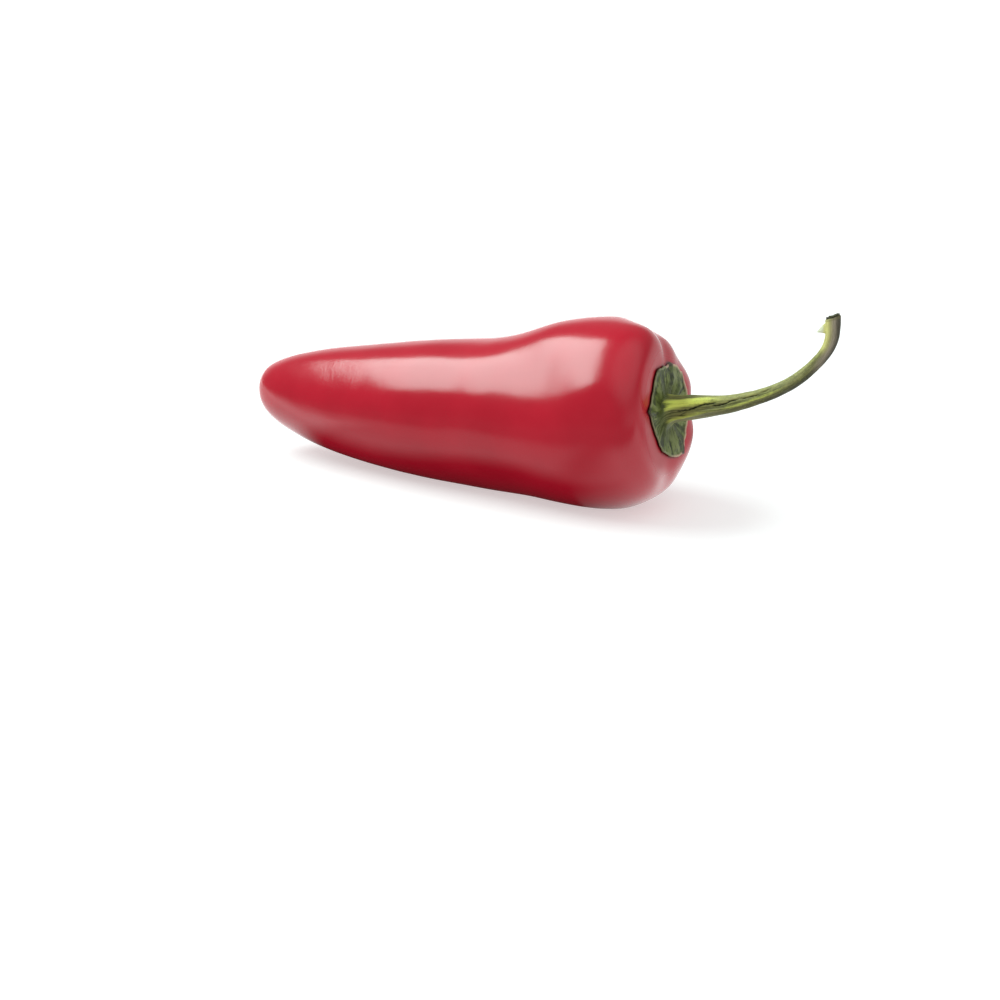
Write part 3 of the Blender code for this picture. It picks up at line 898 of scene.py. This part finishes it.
studio = dict(
    floorSize=6.0, floorDrop=0.0001,
    # what the camera sees of the floor: white, with a soft shadow
    floorGrey=0.60, floorGlow=0.50,
    # what the pepper gets from it: the floor glows for the pepper alone, as plain light from below and as
    # painted reflections in its skin
    mirrored=0.40, strip=0.62, rightFront=1.10, leftOfTip=1.2, farBehind=1.0,
    # the softbox, seen from the pepper: direction in degrees, edges as tangents, distance in metres
    softboxAzimuthDeg=-79.5, softboxElevationDeg=44.3, softboxRollDeg=-14.2,
    softboxAcross=(-0.44, 0.457), softboxUp=(-0.083, 0.275), softboxDistance=1.6, softboxLevel=8.4,
    softboxColour=(0.84, 1.03, 1.0),
    # the world: light from all round, and what the skin mirrors of it; each pair runs from where a change
    # starts to where it is full, in parts of the direction looked at
    fill=0.60, sideFill=0.18, sideFillEdge=(0.3, 0.95), gloss=0.34,
    backBand=0.75, backBandY=(0.1, 0.7), backBandZ=(0.5, 0.25),
    rightBand=0.5, rightBandX=(0.5, 0.95), rightBandZ=(0.45, 0.1),
    sidePanel=0.80, sidePanelDegrees=(60.0, 64.0), sidePanelEdge=(0.64, 0.92),
)
# what the pepper sees of the floor, in mm: each pair runs from where a change starts to where it is full
floorPattern = dict(
    edgeX=(-40.0, 0.0), edgeY=(9.0, 16.0),
    stripOver=6.0, stripFront=(-60.0, -30.0), stripEnd=(14.0, 2.0),
    rightX=(8.0, 28.0), rightFront=(-60.0, -26.0), rightBack=(70.0, 10.0),
    beyondX=(8.0, 24.0), beyondY=(-12.0, 70.0), beyondOver=9.0,
    leftX=(-42.0, -53.0), leftY=(-32.0, -16.0),
    # where the floor's glow is dimmed as a painted shadow of the pepper
    paintedShadowY=(-3.0, 2.5), paintedShadowEndsLeft=(-44.0, -54.0), paintedShadowEndsRight=(18.0, 30.0), farY=(48.0, 95.0),
    darkest=0.02, lightUnder=0.38, lightAdded=0.28,
)


def direction(azimuthDeg, elevationDeg):
    azimuth, elevation = math.radians(azimuthDeg), math.radians(elevationDeg)
    return Vector((math.sin(azimuth) * math.cos(elevation), -math.cos(azimuth) * math.cos(elevation),
                   math.sin(elevation)))


def facing(azimuthDeg, elevationDeg, rollDeg):
    # a frame whose z axis points that way, with x level apart from the roll
    z = direction(azimuthDeg, elevationDeg)
    level = Vector((math.cos(math.radians(azimuthDeg)), math.sin(math.radians(azimuthDeg)), 0.0))
    roll = math.radians(rollDeg)
    x = level * math.cos(roll) + z.cross(level) * math.sin(roll)
    return x, z.cross(x), z


def floorLevels(x, y):
    # how bright the floor is in the skin's reflections, and how bright it lights the pepper
    area = floorPattern
    edge = x.step(*area["edgeX"], *area["edgeY"])
    strip = ((y + edge) / -area["stripOver"]).step(0.0, 1.0) * y.step(*area["stripFront"])
    pattern = strip * x.step(*area["stripEnd"]) * studio["strip"]
    beyond = (x.step(*area["beyondX"], *area["beyondY"]) - y) / area["beyondOver"]
    right = x.step(*area["rightX"]) * y.step(*area["rightFront"]) * y.step(*area["rightBack"])
    pattern = pattern + right * beyond.step(0.0, 1.0) * studio["rightFront"]
    pattern = pattern + x.step(*area["leftX"]) * y.step(*area["leftY"]) * studio["leftOfTip"]
    # painted shadow: close beside the pepper the floor's glow is dimmer, in place of the pepper's own shadow
    outsidePaintedShadow = (y.size() - edge).step(*area["paintedShadowY"])
    outsidePaintedShadow = outsidePaintedShadow.most(x.step(*area["paintedShadowEndsLeft"])).most(x.step(*area["paintedShadowEndsRight"]))
    far = y.step(*area["farY"]) * studio["farBehind"]
    mirrored = pattern + (outsidePaintedShadow * studio["mirrored"]).most(far) + area["darkest"]
    return mirrored, outsidePaintedShadow * area["lightAdded"] + area["lightUnder"]


def buildFloor():
    bm = bmesh.new()
    bmesh.ops.create_grid(bm, x_segments=1, y_segments=1, size=studio["floorSize"] / 2)
    mesh = bpy.data.meshes.new("studio_floor")
    bm.to_mesh(mesh)
    bm.free()
    material, nodes, shader = newMaterial("white_floor")
    tree = material.node_tree
    grey = studio["floorGrey"]
    feed(nodes, shader, Base_Color=(grey, grey, grey, 1.0), Roughness=0.9, IOR=1.1,
         Emission_Color=(1.0, 1.0, 1.0, 1.0), Emission_Strength=studio["floorGlow"])
    path = nodes.make("ShaderNodeLightPath")
    x, y, _ = nodes.parts(nodes.make("ShaderNodeTexCoord", None, None, "Object"))
    # the floor glows for all but camera rays: painted reflections in the skin and painted light from below
    mirrored, lit = floorLevels(x / mm, y / mm)
    glossy = path.other("Is Glossy Ray")
    level = glossy * mirrored + (1 - glossy) * lit
    glow = nodes.make("ShaderNodeEmission", None, {"Color": level})
    surface = nodes.make("ShaderNodeMixShader", None,
                         {0: path.other("Is Camera Ray"), 1: glow, 2: Socket(nodes, shader.outputs[0])})
    tree.links.new(surface.output, tree.nodes["Material Output"].inputs["Surface"])
    mesh.materials.append(material)
    floor = bpy.data.objects.new("studio_floor", mesh)
    floor.location.z = -studio["floorDrop"]
    bpy.context.scene.collection.objects.link(floor)


def buildWorld():
    world = bpy.data.worlds.new("white_studio")
    bpy.context.scene.world = world
    world.use_nodes = True
    nodes = Nodes(world.node_tree)
    background = world.node_tree.nodes["Background"]
    path = nodes.make("ShaderNodeLightPath")
    camera, glossy = path.other("Is Camera Ray"), path.other("Is Glossy Ray")
    towards = nodes.make("ShaderNodeTexCoord", None, None, "Generated")
    right, back, height = nodes.parts(towards)
    panelAt = tuple(direction(*studio["sidePanelDegrees"]))
    panel = nodes.make("ShaderNodeVectorMath", dict(operation="DOT_PRODUCT"), {0: towards, 1: panelAt},
                       "Value")
    backBand = back.step(*studio["backBandY"]) * height.step(*studio["backBandZ"])
    rightBand = right.step(*studio["rightBandX"]) * height.step(*studio["rightBandZ"])
    gloss = backBand * studio["backBand"] + rightBand * studio["rightBand"] + studio["gloss"]
    gloss = gloss + panel.step(*studio["sidePanelEdge"]) * studio["sidePanel"]
    diffuse = panel.step(*studio["sideFillEdge"]) * studio["sideFill"] + studio["fill"]
    level = glossy * gloss + (1 - glossy) * diffuse
    level = camera + (1 - camera) * level
    world.node_tree.links.new(level.output, background.inputs["Color"])


def buildSoftbox():
    x, y, z = facing(studio["softboxAzimuthDeg"], studio["softboxElevationDeg"], studio["softboxRollDeg"])
    (left, right), (low, high) = studio["softboxAcross"], studio["softboxUp"]
    far = studio["softboxDistance"]
    light = bpy.data.lights.new("softbox", "AREA")
    light.shape = "RECTANGLE"
    light.size, light.size_y = (right - left) * far, (high - low) * far
    light.color = studio["softboxColour"]
    light.energy = studio["softboxLevel"] * math.pi * light.size * light.size_y
    softbox = bpy.data.objects.new("softbox", light)
    place = (z + x * (left + right) / 2 + y * (low + high) / 2) * far
    softbox.matrix_world = Matrix.Translation(place) @ Matrix((x, y, z)).transposed().to_4x4()
    softbox.visible_camera = False
    bpy.context.scene.collection.objects.link(softbox)


# the camera looks from a little right of the pod's front and above, rolled by about two degrees
view = dict(azimuthDeg=23.0, elevationDeg=15.0, rollDeg=2.308, lens=120.0, sensor=36.0, mmPerPixel=0.1757,
            imageWidth=1000.0, objectPixel=(539.98, 382.35))


def buildCamera():
    right, up, back = facing(view["azimuthDeg"], view["elevationDeg"], view["rollDeg"])
    low, high = cadBox
    middle = (Vector(low) + Vector(high)) / 2
    pixel = view["mmPerPixel"] * mm
    place = middle + back * (view["lens"] / view["sensor"] * view["imageWidth"] * pixel)
    half = view["imageWidth"] / 2
    pixelX, pixelY = view["objectPixel"]
    target = middle - right * (pixelX - half) * pixel + up * (pixelY - half) * pixel
    look = (place - target).normalized()
    across = up.cross(look).normalized()
    turn = Matrix((across, look.cross(across), look)).transposed()
    data = bpy.data.cameras.new("camera")
    data.lens = view["lens"]
    data.sensor_width = view["sensor"]
    camera = bpy.data.objects.new("camera", data)
    camera.matrix_world = Matrix.Translation(place) @ turn.to_4x4()
    bpy.context.scene.collection.objects.link(camera)
    bpy.context.scene.camera = camera


buildFloor()
buildWorld()
buildSoftbox()
buildCamera()
bpy.context.scene.view_settings.view_transform = "Standard"
print("studio ready")
